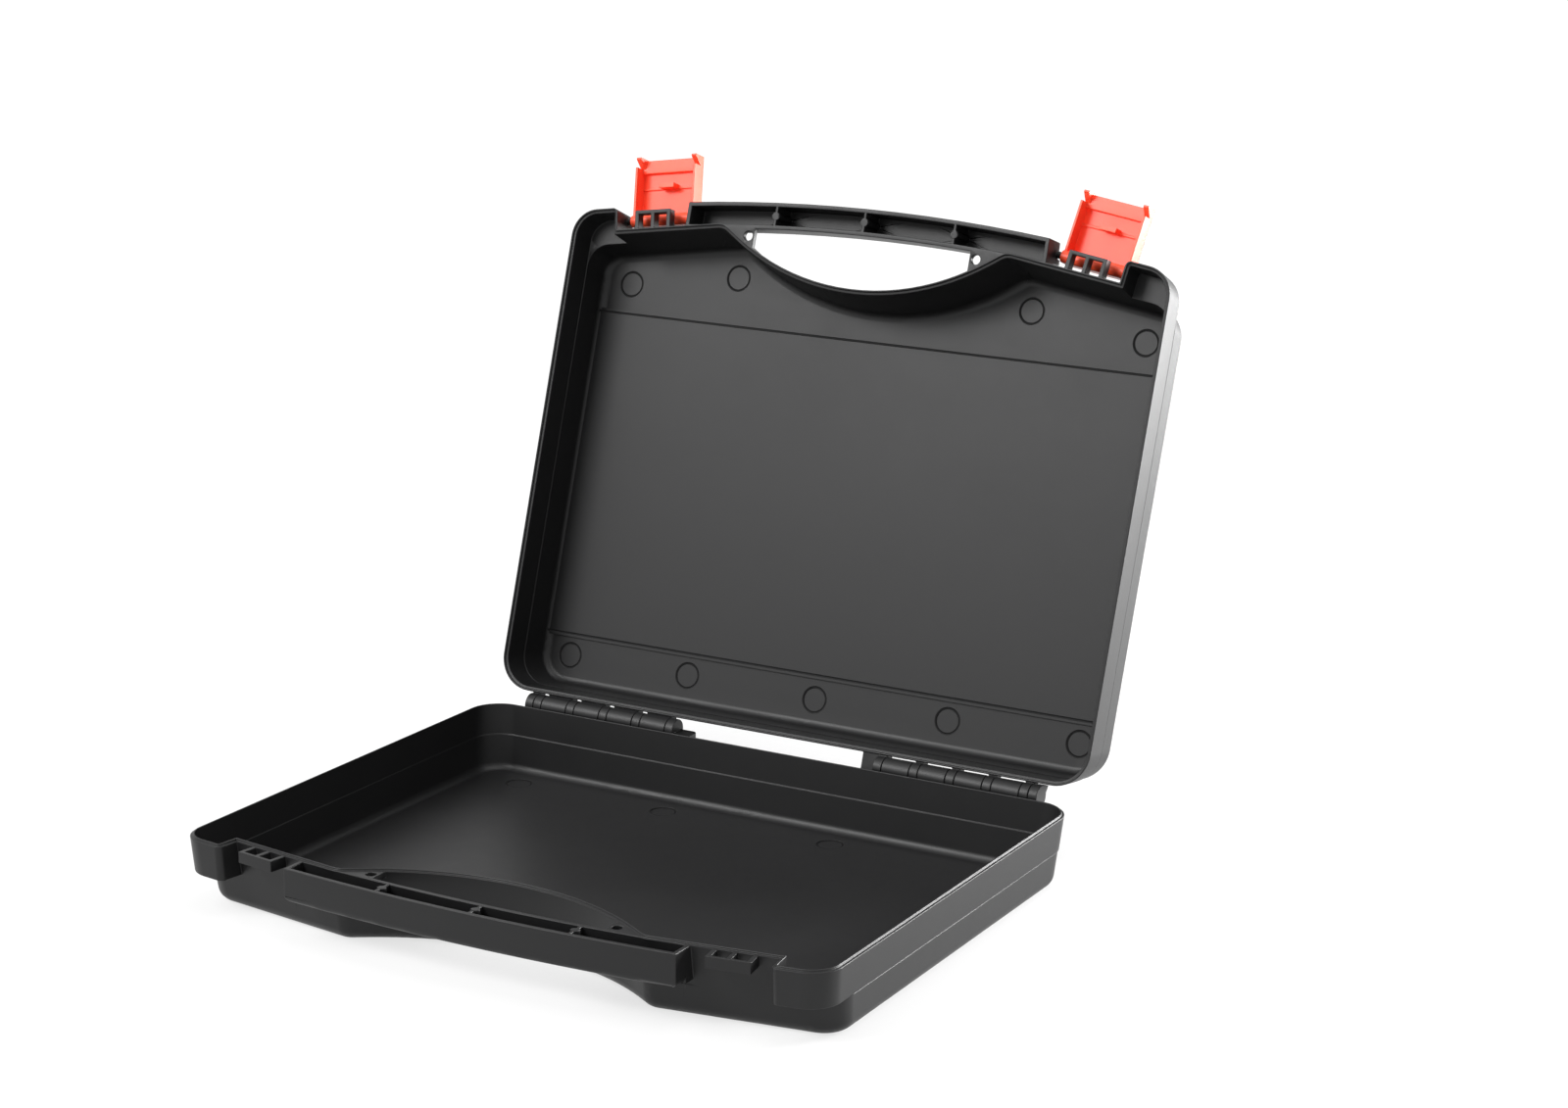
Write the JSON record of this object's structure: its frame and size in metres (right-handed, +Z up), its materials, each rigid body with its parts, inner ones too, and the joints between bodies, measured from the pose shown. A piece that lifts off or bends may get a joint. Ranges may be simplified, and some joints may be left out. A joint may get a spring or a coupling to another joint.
{
  "type": "first aid case",
  "caption": "Shallow moulded carrying case with a hinged lid leaning open, a handle split between lid and base, and swinging front latches.",
  "frame": {"origin": "middle of the flat underside of the base", "axes": "+X to the right seen from the handle side, +Y towards the hinge, +Z up; the case stands open"},
  "size_m": [0.342, 0.3912, 0.3158],
  "materials": {
    "shell_plastic": "black moulded plastic with a fine satin grain",
    "latch_plastic": "orange-red moulded plastic, slightly glossy",
    "pin_steel": "drawn steel wire"
  },
  "bodies": {
    "base": {"base_shell": "shell_plastic", "hinge_pin_right": "pin_steel"},
    "lid": {"lid_shell": "shell_plastic", "hinge_pin_left": "pin_steel"},
    "latch_left": {"latch_left": "latch_plastic"},
    "latch_right": {"latch_right": "latch_plastic"}
  },
  "joints": [
    {"name": "lid_hinge", "type": "hinge", "parent": "base", "child": "lid", "pos_m": [0, 0.13, 0.0355], "axis": [1, 0, 0], "range_deg": [0, 108.16]},
    {"name": "latch_left_pivot", "type": "hinge", "parent": "lid", "child": "latch_left", "pos_m": [-0.12418, 0.22313, 0.28093], "axis": [0.9892, 0.0457, 0.1393], "range_deg": [0, 92]},
    {"name": "latch_right_pivot", "type": "hinge", "parent": "lid", "child": "latch_right", "pos_m": [0.12418, 0.22313, 0.28093], "axis": [0.9892, -0.0457, -0.1393], "range_deg": [0, 92]}
  ]
}
